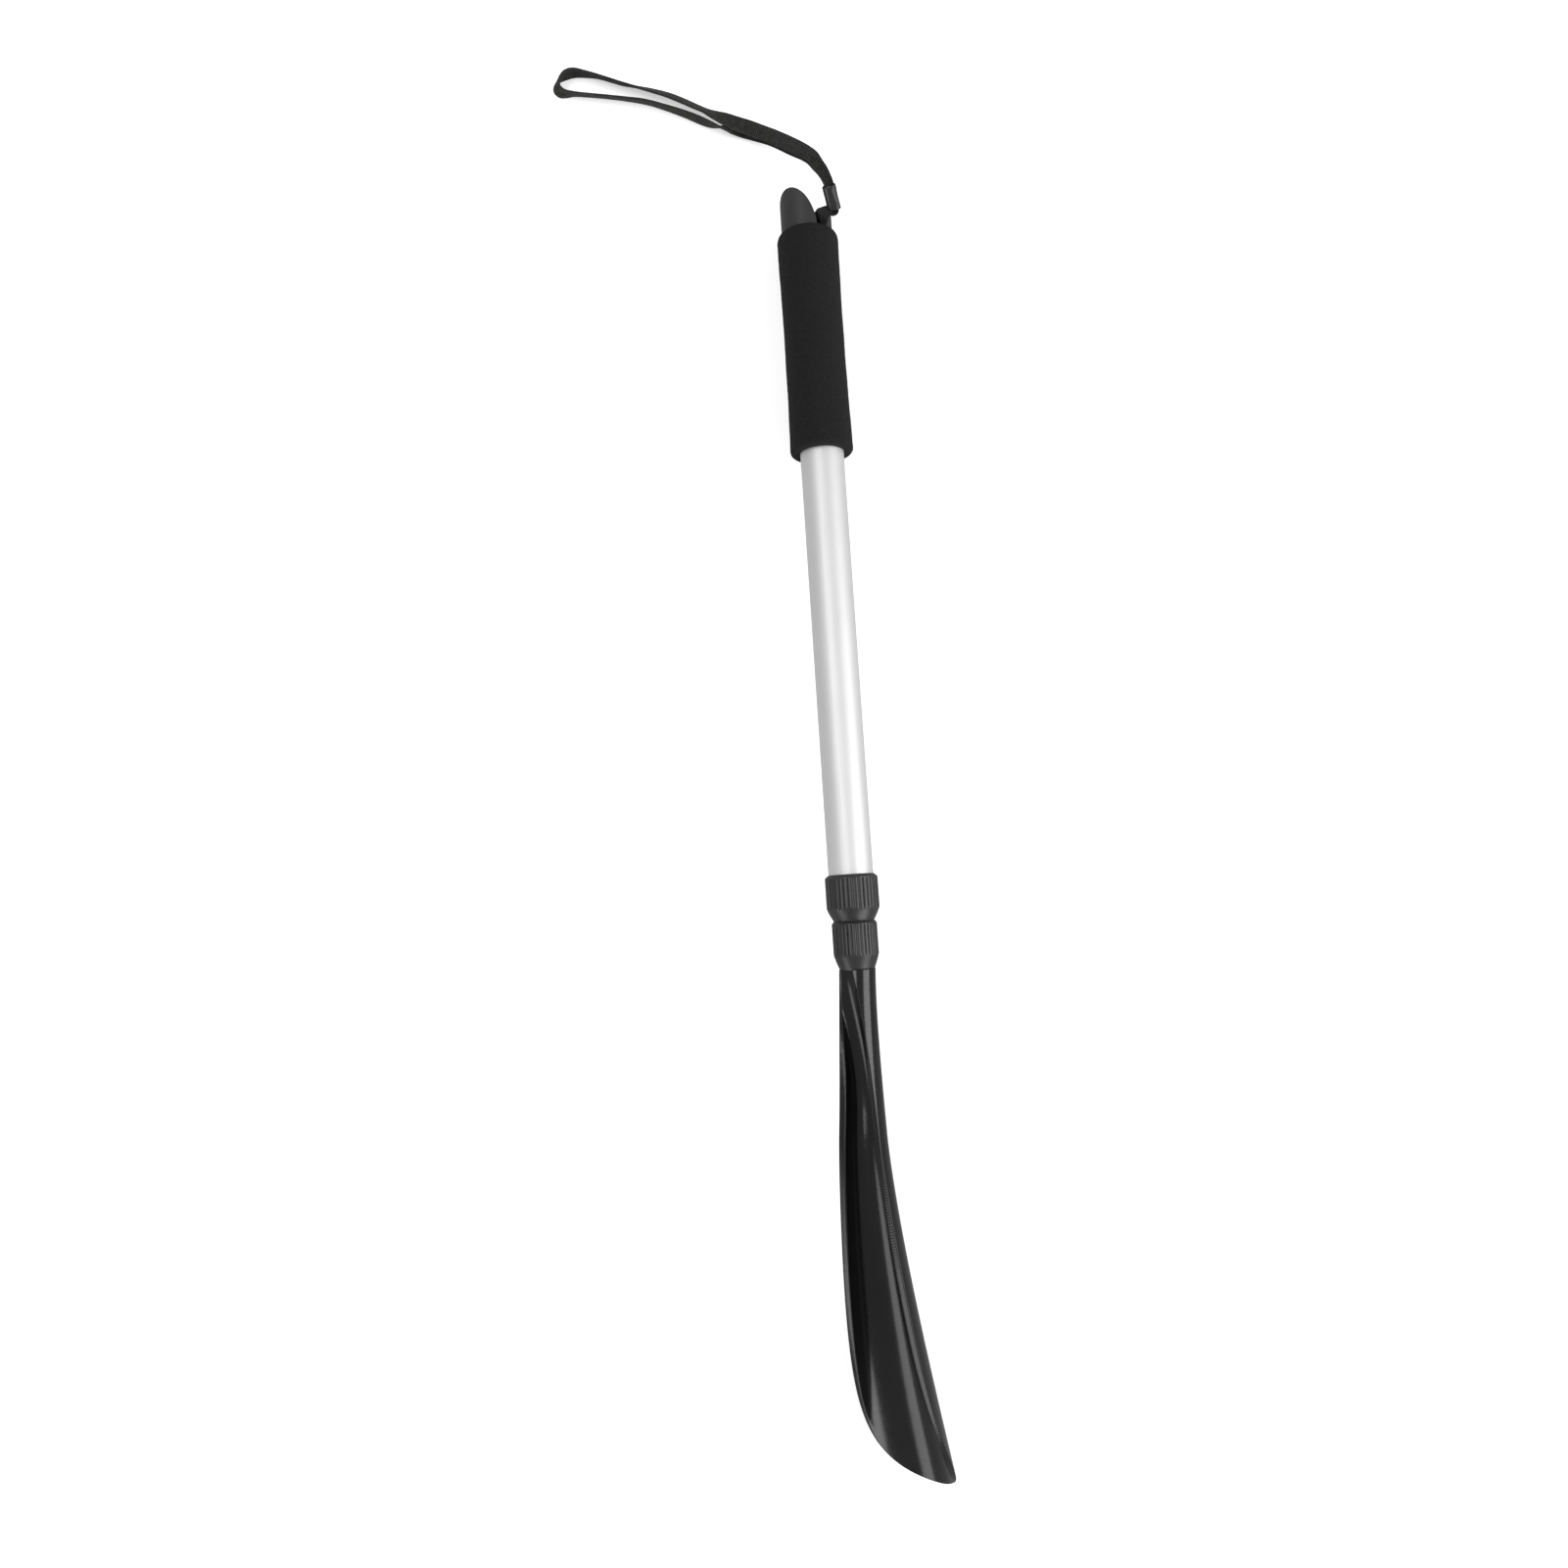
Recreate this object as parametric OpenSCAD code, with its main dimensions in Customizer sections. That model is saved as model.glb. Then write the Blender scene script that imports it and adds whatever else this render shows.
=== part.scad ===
// Long shoehorn: three aluminium tubes that telescope, with two twist locks,
// a foam grip, a wrist strap and a plastic blade. It is shown closed and lying on its back.
// Inside each module z is the distance from the handle's end, y is up and x is sideways;
// lay() turns that into the part's frame, with the handle towards +Y and up towards +Z.

/* [Tubes] */
// Outside diameter of the outer tube
outer_d = 22; // [21.6:0.1:22.4]
// Outside diameter of the middle tube
middle_d = 19; // [18.8:0.1:19.2]
// Outside diameter of the inner tube
inner_d = 16; // [15.8:0.1:16.2]
// Wall of every tube
tube_wall = 1; // [0.9:0.05:1.1]
// Lower end of the outer tube, from the handle's end
outer_end = 364; // [355:1:364]

/* [Handle] */
// Where the foam grip starts
foam_start = 24; // [23.8:0.1:25]
// Length of the foam grip
foam_len = 115.5; // [90:0.5:130]
// Radius of the foam grip at its fullest
foam_r = 15.9; // [15:0.1:17]
// Outside radius of the end cap
cap_r = 13; // [12.8:0.1:13.4]
// Length of the cap's skirt over the tube
cap_skirt = 30; // [20:1:40]

/* [Collars] */
// Outside radius of the outer collar
outer_collar_r = 12.9; // [12.5:0.1:13.5]
// Start of the outer collar, from the handle's end
outer_collar_start = 351.4; // [350:0.1:352]
// Outside radius of the middle collar
middle_collar_r = 11; // [10.8:0.1:11.6]
// Gap between the two collars when closed
collar_gap = 0.4; // [0.3:0.1:1.5]
// Number of grip grooves round each collar
groove_count = 32; // [16:2:40]

/* [Blade] */
// Length of the blade below its neck
blade_len = 249.5; // [220:0.5:260]
// Outside radius of the round neck
neck_r = 8.9; // [8.6:0.1:9.4]
// Outside radius of the trough at its widest
heel_r = 24; // [20:0.5:25]
// Direction in which the trough opens, above the horizontal
open_angle = 50; // [40:1:60]
// Thickness of the trough's wall
blade_wall = 2.8; // [2.2:0.1:3.2]
// Thickness of the trough's rim
rim_wall = 3.6; // [3:0.1:4]

/* [Strap] */
// Width of the ribbon
ribbon_w = 9; // [8:0.5:10]
// Thickness of the ribbon
ribbon_t = 1.2; // [1:0.1:1.4]

/* [Hidden] */
$fn = 96;

outer_r = outer_d / 2;
middle_r = middle_d / 2;
inner_r = inner_d / 2;
outer_bore = outer_r - tube_wall;
middle_bore = middle_r - tube_wall;
inner_bore = inner_r - tube_wall;
tube_start = 26;
running = 0.08;
press = 0.04;
groove_r = 0.5;
bevel = 1.3;

// Collars, each with a straight grooved part, a rounded chin and a seat for its tube
straight_len = 16;
chin_len = 5.8;
seat_len = outer_end - outer_collar_start;
middle_collar_start = outer_collar_start + straight_len + chin_len + collar_gap;
middle_end = middle_collar_start + seat_len;
middle_chin_len = 7;
neck_start = middle_collar_start + straight_len + middle_chin_len + collar_gap;

// Twist locks: lengths along the lock, from the free end of its stud
stud_r = 2.5;
nut_len = 4;
nut_r = 4.5;
cone_at = 6;
cone_len = 13;
expander_at = 12;
expander_len = 23.5;
seat_depth = 13;
plug_at = 36;
plug_len = 14;
lock_len = plug_at + plug_len;
upper_lock_at = 26.5;
lower_lock_at = 80;
middle_start = upper_lock_at + plug_at + 2;
inner_start = lower_lock_at + plug_at + 2;

// Blade: section radius, rim angle and depth of the spine along its length
spread_len = 260;
rim_angle = 88;
neck_angle = 158;
neck_fade = 44;
bend_from = 79;
bend_depth = 38.3;
bend_len = 200;
spine_depth = 6.7;
tip_from = 137;
tip_sharpness = 3.86;
tip_wall = 1.6;
spigot_len = 40;
spigot_r = inner_bore - 0.05;
pin_at = neck_start - 20;
pin_r = 1.5;
body_rings = 14;
tip_rings = 18;
side_points = 16;

function ease(x) = x <= 0 ? 0 : x >= 1 ? 1 : x * x * (3 - 2 * x);
function mix(a, b, t) = a + (b - a) * t;
function trough_r(u) = neck_r + (heel_r - neck_r) * ease(u / spread_len);
function tip_fade(u) = sqrt(max(1 - pow(max(u - tip_from, 0) / (blade_len - tip_from), tip_sharpness), 0));
function half_angle(u) = (rim_angle + (neck_angle - rim_angle) * exp(-u / neck_fade)) * tip_fade(u);
function spine(u) = spine_depth + (neck_r - spine_depth) * exp(-u / 20)
    + bend_depth * pow(max(u - bend_from, 0) / bend_len, 1.5);
function trough_at(u, angle, r) =
    let (across = r * sin(angle), out = trough_r(u) - spine(u) - r * cos(angle))
    [across * sin(open_angle) - out * cos(open_angle), across * cos(open_angle) + out * sin(open_angle)];
function wall_at(u, t) =
    let (middle = mix(blade_wall, tip_wall, ease((u - 170) / 80)),
         rim = mix(0.6, mix(rim_wall, tip_wall, ease((u - 170) / 80)), ease(u / 60)))
    mix(middle, rim, pow(abs(t), 6));
function inner_at(u, t) =
    let (edge = trough_r(u) - wall_at(u, 1), a = half_angle(u),
         flat = mix(trough_at(u, -a, edge), trough_at(u, a, edge), (t + 1) / 2),
         round = trough_at(u, a * t, trough_r(u) - wall_at(u, t)))
    mix(flat, round, ease((u + 6) / 75));
function blade_ring(u) = concat(
    [for (i = [0:side_points]) let (t = 2 * i / side_points - 1)
        trough_at(u, half_angle(u) * t, trough_r(u))],
    [for (i = [0:side_points]) let (t = 1 - 2 * i / side_points) inner_at(u, t)]);
blade_stops = concat(
    [for (i = [0:body_rings]) tip_from * i / body_rings],
    [for (i = [1:tip_rings]) tip_from + (blade_len - tip_from) * sin(88.5 * i / tip_rings)]);

// Mouth of the end cap. Its front has one tall rounded tongue, a notch for the strap and a low wall:
// angles go round from the top towards +x, and stations are those of the edge.
cap_wall = 2;
tongue_at = -48;
tongue_half = 70;
tongue_top = 2.6;
notch_floor = 23.5;
notch_end = 49;
low_wall = 12.5;
function tongue_edge(a) = let (t = abs(a - tongue_at) / tongue_half)
    tongue_top + (notch_floor - tongue_top) * (1 - pow(1 - min(t * t, 1), 0.57));
function wall_edge(a) = let (t = (a - notch_end) / (90 - notch_end))
    mix(notch_floor, low_wall, pow(1 - (1 - t) * (1 - t), 0.8));

// Strap bar across the cap's mouth, and the strap's loop round it
bar_at = 17;
bar_turn = -45;
bar_out = 4.13;
bar_r = 1.6;
bar_len = 23.2;
loop_w = 5;
sleeve_w = 6.8;
sleeve_t = 4.8;
sleeve_roll = 20;
sleeve_foot = [7.2, 309.4, 40.1];
sleeve_mouth = [4.5, 318.1, 48.6];

// Place of the closed shoehorn in the part's frame: the middle of its box, on its lowest point
blade_points = [for (u = blade_stops) for (p = blade_ring(u)) p];
lowest = min([for (p = blade_points) p[1]]);
rightmost = max([for (p = blade_points) p[0]]);
leftmost = min(min([for (p = blade_points) p[0]]), -foam_r);
blade_end = neck_start + blade_stops[len(blade_stops) - 1];
axis_x = -(leftmost + rightmost) / 2;
axis_y = (tongue_top + blade_end) / 2;
axis_z = -lowest;

module lay() {
    translate([axis_x, axis_y, axis_z]) rotate([90, 0, 0]) children();
}

// A tube of given radii between two stations
module pipe(r, bore, from, to) {
    difference() {
        translate([0, 0, from]) cylinder(r = r, h = to - from);
        translate([0, 0, from - 1]) cylinder(r = bore, h = to - from + 2);
    }
}

// A solid made of closed rings that all have the same number of points
module skin(rings) {
    n = len(rings[0]);
    last = len(rings) - 1;
    polyhedron(
        points = [for (ring = rings) for (p = ring) p],
        faces = concat(
            [[for (i = [0:n - 1]) i]],
            [[for (i = [0:n - 1]) last * n + n - 1 - i]],
            [for (k = [0:last - 1]) for (i = [0:n - 1]) let (j = (i + 1) % n)
                for (f = [[k * n + i, (k + 1) * n + i, k * n + j],
                          [k * n + j, (k + 1) * n + i, (k + 1) * n + j]]) f]),
        convexity = 6);
}

module outer_tube() {
    color("silver") lay() pipe(outer_r, outer_bore, tube_start, outer_end);
}

module middle_tube() {
    color("gainsboro") lay() pipe(middle_r, middle_bore, middle_start, middle_end);
}

module inner_tube() {
    color("silver") lay() difference() {
        pipe(inner_r, inner_bore, inner_start, neck_start);
        translate([0, 0, pin_at]) rotate([90, 0, 0]) cylinder(r = pin_r + 0.02, h = 30, center = true);
    }
}

// Foam sleeve: stretched over the cap's skirt at one end, on the bare tube at the other
module foam_grip() {
    waist = foam_r - 0.6;
    top = foam_r - 0.2;
    round = 3.5;
    skirt_end = tube_start + cap_skirt + 1;
    color("#262626") lay() difference() {
        rotate_extrude() polygon(concat(
            [[0, foam_start]],
            [for (a = [0:10:90]) [top - round * (1 - sin(a)), foam_start + round * (1 - cos(a))]],
            [for (i = [1:7]) let (t = i / 8)
                [mix(top, foam_r, t) - (foam_r - waist) * sin(180 * t),
                 foam_start + round + (foam_len - 2 * round) * t]],
            [for (a = [0:10:90])
                [foam_r - round * (1 - cos(a)), foam_start + foam_len - round * (1 - sin(a))]],
            [[0, foam_start + foam_len]]));
        translate([0, 0, foam_start - 1]) cylinder(r = cap_r + press, h = skirt_end - foam_start + 1);
        translate([0, 0, foam_start]) cylinder(r = outer_r + press, h = foam_len + 1);
    }
}

// End cap: a skirt over the tube, and a mouth with one tall rounded tongue, a notch and a low wall
module end_cap() {
    reach = 15;
    color("#3a3a3a") lay() difference() {
        translate([0, 0, tongue_top]) cylinder(r = cap_r, h = tube_start + cap_skirt - tongue_top);
        // socket for the tube, and the mouth above a floor
        translate([0, 0, tube_start]) cylinder(r = outer_r + press, h = cap_skirt + 1);
        translate([0, 0, -1]) cylinder(r = cap_r - cap_wall, h = notch_floor + 1.5);
        // outline of the front: tongue, notch, then the low wall rounding up out of it
        translate([0, 0.01, 0]) mirror([0, 1, 0]) rotate([90, 0, 0]) linear_extrude(reach) polygon(concat(
            [[reach, -1], [-reach, -1], [-reach, tongue_edge(-90)]],
            [for (a = [-90:6:-60]) [cap_r * sin(a), tongue_edge(a)]],
            [for (a = [-54:4:22]) [cap_r * sin(a), tongue_edge(a)]],
            [for (a = [notch_end:5:89]) [cap_r * sin(a), wall_edge(a)]],
            [[cap_r, low_wall], [reach, low_wall]]));
        // outline of the back: the tongue's far side, then the low wall
        rotate([90, 0, 0]) linear_extrude(reach) polygon(concat(
            [[reach, -1], [-reach, -1], [-reach, tongue_edge(-90)]],
            [for (a = [-90:-3.5:-104]) [cap_r * sin(a), min(tongue_edge(a), low_wall)]],
            [[-8, low_wall], [reach, low_wall]]));
    }
    // bar across the mouth that the strap is looped round
    color("#3a3a3a") lay() translate([0, 0, bar_at]) rotate([0, 0, bar_turn]) translate([0, bar_out, 0])
        rotate([0, 90, 0]) cylinder(r = bar_r, h = bar_len, center = true);
}

// Ribbed collar: a seat for the tube that it is fixed on, and a running fit for the tube inside it
module ribbed_collar(start, r, chin, chin_r, seat_r, slide_r) {
    straight_end = start + straight_len;
    difference() {
        translate([0, 0, start]) rotate_extrude() polygon(concat(
            [[0, 0], [r - bevel, 0], [r, bevel * 0.8], [r, straight_len]],
            [for (i = [1:6]) let (t = i / 6) [r - (r - chin_r) * pow(t, 1.25), straight_len + chin * t]],
            [[0, straight_len + chin]]));
        translate([0, 0, start - 1]) cylinder(r = seat_r + press, h = seat_len + 1);
        translate([0, 0, start]) cylinder(r = slide_r + running, h = straight_len + chin + 1);
        for (i = [0:groove_count - 1])
            rotate([0, 0, 360 * i / groove_count]) translate([r + 0.15, 0, start + 1.6])
                cylinder(r = groove_r, h = straight_end - start - 2.2, $fn = 16);
    }
}

module outer_collar() {
    color("#2b2b2b") lay()
        ribbed_collar(outer_collar_start, outer_collar_r, chin_len, 10.2, outer_r, middle_r);
}

module middle_collar() {
    color("#2b2b2b") lay()
        ribbed_collar(middle_collar_start, middle_collar_r, middle_chin_len, 8.7, middle_r, inner_r);
}

module blade() {
    color("#141414") lay() difference() {
        union() {
            skin([for (u = blade_stops) [for (p = blade_ring(u)) [p[0], p[1], neck_start + u]]]);
            translate([0, 0, neck_start - spigot_len]) cylinder(r = spigot_r, h = spigot_len + 1.5);
        }
        translate([0, 0, pin_at]) rotate([90, 0, 0]) cylinder(r = pin_r + 0.02, h = 30, center = true);
    }
}

module blade_pin() {
    color("gray") lay() translate([0, 0, pin_at]) rotate([90, 0, 0])
        cylinder(r = pin_r, h = inner_d - 0.4, center = true);
}

// Twist lock. The plug and stud belong to the sliding tube; the split sleeve grips the tube outside
// it when the cone is drawn in by the thread; the nut at the stud's end stops the cone.
module lock_plug(at, tube_r, tube_bore) {
    lay() difference() {
        union() {
            translate([0, 0, at + plug_at]) cylinder(r = tube_r - 0.1, h = 2);
            translate([0, 0, at + plug_at]) cylinder(r = tube_bore - press, h = plug_len);
        }
        translate([0, 0, at + plug_at - 1]) cylinder(r = stud_r + 0.02, h = plug_len + 2);
    }
}

module lock_stud(at) {
    lay() translate([0, 0, at]) cylinder(r = stud_r, h = lock_len);
}

module lock_stop_nut(at) {
    lay() difference() {
        translate([0, 0, at + 0.5]) cylinder(r = nut_r, h = nut_len, $fn = 6);
        translate([0, 0, at - 1]) cylinder(r = stud_r + 0.02, h = nut_len + 3);
    }
}

module lock_cone(at, tube_bore) {
    big = tube_bore - 3;
    slot = 2.4;
    lay() difference() {
        union() {
            translate([0, 0, at + cone_at]) rotate_extrude() polygon(
                [[0, 0], [big, 0], [big, 5], [3.6, cone_len], [0, cone_len]]);
            translate([-slot / 2 + 0.3, 0, at + cone_at + 5.5]) cube([slot - 0.6, tube_bore - 1.5, 5.5]);
        }
        translate([0, 0, at]) cylinder(r = stud_r + 0.1, h = 30);
    }
}

module lock_expander(at, tube_bore) {
    big = tube_bore - 3;
    slot = 2.4;
    lay() difference() {
        translate([0, 0, at + expander_at]) cylinder(r = tube_bore - 0.1, h = expander_len);
        translate([0, 0, at]) cylinder(r = stud_r + running, h = 60);
        translate([0, 0, at + cone_at]) rotate_extrude() polygon(
            [[0, 0], [big + 0.3, 0], [big + 0.3, 5], [3.9, cone_len],
             [3.9, seat_depth + 6.5], [0, seat_depth + 6.5]]);
        translate([-slot / 2, 0, at + expander_at - 1]) cube([slot, 20, 15]);
    }
}

module upper_plug() { color("#8a8a8a") lock_plug(upper_lock_at, middle_r, middle_bore); }
module upper_stud() { color("#b0b0b0") lock_stud(upper_lock_at); }
module upper_expander() { color("#d8d8d0") lock_expander(upper_lock_at, outer_bore); }
module upper_cone() { color("#505a60") lock_cone(upper_lock_at, outer_bore); }
module upper_stop_nut() { color("#b8a878") lock_stop_nut(upper_lock_at); }
module lower_plug() { color("#8a8a8a") lock_plug(lower_lock_at, inner_r, inner_bore); }
module lower_stud() { color("#b0b0b0") lock_stud(lower_lock_at); }
module lower_expander() { color("#d8d8d0") lock_expander(lower_lock_at, middle_bore); }
module lower_cone() { color("#505a60") lock_cone(lower_lock_at, middle_bore); }
module lower_stop_nut() { color("#b8a878") lock_stop_nut(lower_lock_at); }

// Strap. Each route point is [x, y, z, roll, width] in the part's frame: roll 0 lies flat,
// 90 stands on edge, and 180 lies on its other face.
STRAP_ROUTE = [
    [4.6, 318.4, 50.0, 0, 4.8], [3.3, 320.9, 51.8, 0, 5.2], [1.6, 324.3, 52.4, 0, 5.8],
    [-0.7, 328.3, 51.8, 0, 6.6], [-2.9, 333.1, 50.0, 0, 7.4], [-6.1, 338.0, 46.8, 0, 8.2],
    [-10.9, 344.6, 41.6, 0, 9], [-16.0, 351.4, 36.0, 0, 9], [-21.7, 358.3, 30.2, 0, 9],
    [-27.6, 363.9, 25.8, 0, 9], [-34.1, 368.5, 23.5, 2, 9], [-41.0, 371.6, 23.4, 8, 9],
    [-46.5, 374.2, 24.0, 20, 9], [-51.5, 376.8, 23.9, 34, 9], [-56.0, 379.4, 23.7, 46, 9],
    [-61.0, 382.1, 23.6, 46, 9], [-68.5, 386.1, 23.8, 45, 9], [-76.1, 389.8, 23.8, 46, 9],
    [-86.2, 393.4, 23.8, 51, 9], [-99.0, 397.4, 23.9, 65, 9], [-110.7, 401.9, 24.1, 68, 9],
    [-117.8, 403.8, 24.3, 76, 9], [-124.0, 404.8, 24.5, 85, 9], [-128.7, 403.8, 24.4, 84, 9],
    [-132.3, 401.2, 24.2, 68, 9], [-133.5, 398.4, 24.1, 60, 9], [-132.3, 395.6, 24.2, 72, 9],
    [-129.0, 393.7, 24.2, 98, 9], [-123.6, 393.0, 24.1, 112, 9], [-112.3, 391.4, 23.8, 115, 9],
    [-99.5, 389.1, 23.8, 114, 9], [-86.6, 386.2, 23.8, 109, 9], [-75.5, 381.9, 23.9, 105, 9],
    [-66.4, 377.9, 23.9, 100, 9], [-59.0, 374.2, 23.8, 97, 9], [-53.3, 371.5, 23.6, 104, 9],
    [-48.5, 370.2, 22.8, 124, 9], [-43.5, 369.8, 21.6, 152, 9], [-38.5, 369.3, 21.0, 171, 9],
    [-33.7, 367.6, 21.4, 179, 9], [-27.1, 363.3, 24.1, 180, 9], [-21.2, 357.8, 28.6, 180, 9],
    [-15.5, 350.7, 34.5, 180, 9], [-10.4, 343.9, 40.1, 180, 9], [-5.6, 337.4, 45.3, 180, 8.2],
    [-2.6, 332.5, 48.5, 180, 7.4], [-0.5, 328.0, 50.2, 180, 6.6], [1.6, 324.3, 50.8, 180, 5.8],
    [3.1, 321.4, 50.3, 180, 5.2], [4.3, 319.1, 48.6, 180, 4.8]];

function spline(a, b, c, d, t) =
    0.5 * (2 * b + (c - a) * t + (2 * a - 5 * b + 4 * c - d) * t * t + (3 * b - a - 3 * c + d) * t * t * t);
function smooth(route, steps) = let (n = len(route) - 1) concat(
    [for (k = [0:n - 1]) for (i = [0:steps - 1])
        spline(route[max(k - 1, 0)], route[k], route[k + 1], route[min(k + 2, n)], i / steps)],
    [route[n]]);
function place(p) = [p[0], p[1], p[2]];
function unit(v) = v / norm(v);
function ribbon_ring(path, k) =
    let (n = len(path) - 1,
         along = unit(place(path[min(k + 1, n)]) - place(path[max(k - 1, 0)])),
         left = unit([-along[1], along[0], 0]),
         up = cross(along, left),
         across = cos(path[k][3]) * left + sin(path[k][3]) * up,
         out = cross(along, across),
         w = min(path[k][4], ribbon_w) / 2, h = ribbon_t / 2)
    [for (q = [[1, -0.4], [1, 0.4], [0.9, 1], [-0.9, 1], [-1, 0.4], [-1, -0.4], [-0.9, -1], [0.9, -1]])
        place(path[k]) + across * w * q[0] + out * h * q[1]];
module ribbon(route, steps) {
    path = smooth(route, steps);
    skin([for (k = [0:len(path) - 1]) ribbon_ring(path, k)]);
}

module wrist_strap() { color("#303030") ribbon(STRAP_ROUTE, 2); }

// Loop of ribbon round the cap's bar, out through the notch and up into the crimp sleeve
ANCHOR_ROUTE = [
    [-2.8, 307.4, 37.3, 90, 5], [-1.6, 306.8, 39.4, 72, 5.2], [-0.3, 306.2, 41.1, 36, 5.4],
    [1.4, 305.9, 42.1, 8, 5.2], [3.5, 305.6, 41.2, 0, 4.6], [5.5, 305.6, 39.4, 0, 4.2],
    [7.3, 306.6, 37.9, 0, 4]];

module strap_anchor() {
    color("#303030") {
        ribbon(ANCHOR_ROUTE, 4);
        lay() translate([0, 0, bar_at]) rotate([0, 0, bar_turn]) translate([0, bar_out, 0])
            rotate([0, 90, 0]) difference() {
                cylinder(r = bar_r + ribbon_t + press, h = loop_w, center = true);
                cylinder(r = bar_r + press, h = loop_w + 2, center = true);
            }
    }
}

// Crimp sleeve: a short flattened tube, standing up at a slant over the cap's notch
module strap_sleeve() {
    way = sleeve_mouth - sleeve_foot;
    flat_part = sleeve_w - sleeve_t;
    color("#1c1c1c") translate(sleeve_foot)
        rotate([0, acos(way[2] / norm(way)), atan2(way[1], way[0])]) linear_extrude(norm(way))
            rotate(sleeve_roll) union() {
                square([sleeve_t, flat_part], center = true);
                for (side = [-1, 1]) translate([0, side * flat_part / 2]) circle(d = sleeve_t, $fn = 32);
            }
}

outer_tube();
middle_tube();
inner_tube();
foam_grip();
end_cap();
outer_collar();
middle_collar();
blade();
blade_pin();
wrist_strap();
strap_anchor();
strap_sleeve();
upper_plug();
upper_stud();
upper_expander();
upper_cone();
upper_stop_nut();
lower_plug();
lower_stud();
lower_expander();
lower_cone();
lower_stop_nut();
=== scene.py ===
"""Looks of a telescopic long shoehorn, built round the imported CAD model."""
import math
import bmesh
import bpy
from mathutils import Matrix, Vector, noise


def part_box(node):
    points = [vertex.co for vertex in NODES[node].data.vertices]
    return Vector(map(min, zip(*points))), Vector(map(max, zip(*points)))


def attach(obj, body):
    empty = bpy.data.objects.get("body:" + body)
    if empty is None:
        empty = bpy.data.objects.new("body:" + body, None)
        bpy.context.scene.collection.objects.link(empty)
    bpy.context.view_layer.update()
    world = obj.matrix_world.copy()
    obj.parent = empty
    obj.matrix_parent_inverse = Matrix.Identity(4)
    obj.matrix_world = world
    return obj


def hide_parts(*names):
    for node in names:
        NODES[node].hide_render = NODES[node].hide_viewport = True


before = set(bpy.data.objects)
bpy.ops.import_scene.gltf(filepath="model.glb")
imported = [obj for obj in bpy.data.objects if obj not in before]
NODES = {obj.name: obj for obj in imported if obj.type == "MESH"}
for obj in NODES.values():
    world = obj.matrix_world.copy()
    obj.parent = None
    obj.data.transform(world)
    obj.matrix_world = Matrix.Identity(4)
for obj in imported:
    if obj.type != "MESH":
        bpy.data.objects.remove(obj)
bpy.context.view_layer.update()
MM = 0.001

# Axis of the tubes, and the station 0 that distances along it are counted from
TUBE_LOW, TUBE_HIGH = [Vector(c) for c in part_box("outer_tube")]
AXIS_X = (TUBE_LOW.x + TUBE_HIGH.x) / 2
AXIS_Z = (TUBE_LOW.z + TUBE_HIGH.z) / 2
TUBE_START = 26.0
START_Y = TUBE_HIGH.y + TUBE_START * MM


def lay(x, up, station):
    """Point in the frame from sideways and upward offsets and the distance along the tubes, in mm."""
    return Vector((AXIS_X + x * MM, START_Y - station * MM, AXIS_Z + up * MM))


def mix(a, b, t):
    """Value on the way from a to b."""
    return a + (b - a) * t


def ease(t):
    """Smooth rise from 0 to 1 while t goes from 0 to 1."""
    t = min(max(t, 0.0), 1.0)
    return t * t * (3 - 2 * t)


# ---------------------------------------------------------------- camera, floor and light

CAMERA_HEIGHT = 607.5
CAMERA_SIDE = -29.7
CAMERA_STATION = 367.0
CAMERA_PITCH = math.radians(5.82)
CAMERA_ROLL = math.radians(3.64)
SENSOR = 36.0
FOCAL_SHARE = 0.79325
CAMERA_CLIP = 20.0


def make_camera():
    data = bpy.data.cameras.new("camera")
    data.sensor_width = SENSOR
    data.lens = SENSOR * FOCAL_SHARE
    data.clip_end = CAMERA_CLIP
    camera = bpy.data.objects.new("camera", data)
    bpy.context.collection.objects.link(camera)
    forward = Vector((0, math.sin(CAMERA_PITCH), -math.cos(CAMERA_PITCH)))
    up = Vector((0, math.cos(CAMERA_PITCH), math.sin(CAMERA_PITCH)))
    side = Vector((1, 0, 0))
    right = side * math.cos(CAMERA_ROLL) - up * math.sin(CAMERA_ROLL)
    top = up * math.cos(CAMERA_ROLL) + side * math.sin(CAMERA_ROLL)
    turn = Matrix((right, top, -forward)).transposed().to_4x4()
    camera.matrix_world = Matrix.Translation(lay(CAMERA_SIDE, CAMERA_HEIGHT, CAMERA_STATION)) @ turn
    bpy.context.scene.camera = camera


FLOOR_SIZE = 6.0
FOAM_REST = 28.0  # station where the foam's upper end touches the floor
FOAM_REST_R = 15.7
TIP_REST = 4.0  # distance from the blade's tip to where its back touches the floor


def floor_slope():
    """Rise of the floor per metre towards the handle: it touches the foam's end and the blade's back."""
    blade_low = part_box("blade")[0]
    touch = lay(0, -FOAM_REST_R, FOAM_REST)
    tip_y = blade_low[1] + TIP_REST * MM
    return touch.z / (touch.y - tip_y), tip_y


def make_floor(material):
    slope, tip_y = floor_slope()
    half = FLOOR_SIZE / 2
    corners = [(x, y, (y - tip_y) * slope)
               for x, y in ((-half, -half), (half, -half), (half, half), (-half, half))]
    mesh = bpy.data.meshes.new("floor")
    mesh.from_pydata(corners, [], [(0, 1, 2, 3)])
    mesh.materials.append(material)
    floor = bpy.data.objects.new("floor", mesh)
    bpy.context.collection.objects.link(floor)
    floor.visible_glossy = False


WORLD_STRENGTH = 0.34
LIGHT_DISTANCE = 4.0
POWER_PER_AREA = 4.0
SOFT_BOXES = (  # name, azimuth and elevation in degrees, size in m, brightness
    ("right_box", 100, 36, (2.5, 3.0), 3.0),
    ("front_box", 146, 18, (2.4, 2.2), 2.6),
    ("high_box", -74, 66, (2.6, 1.6), 3.0),
    ("low_box", -132, 14, (2.8, 1.4), 1.8))


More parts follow.
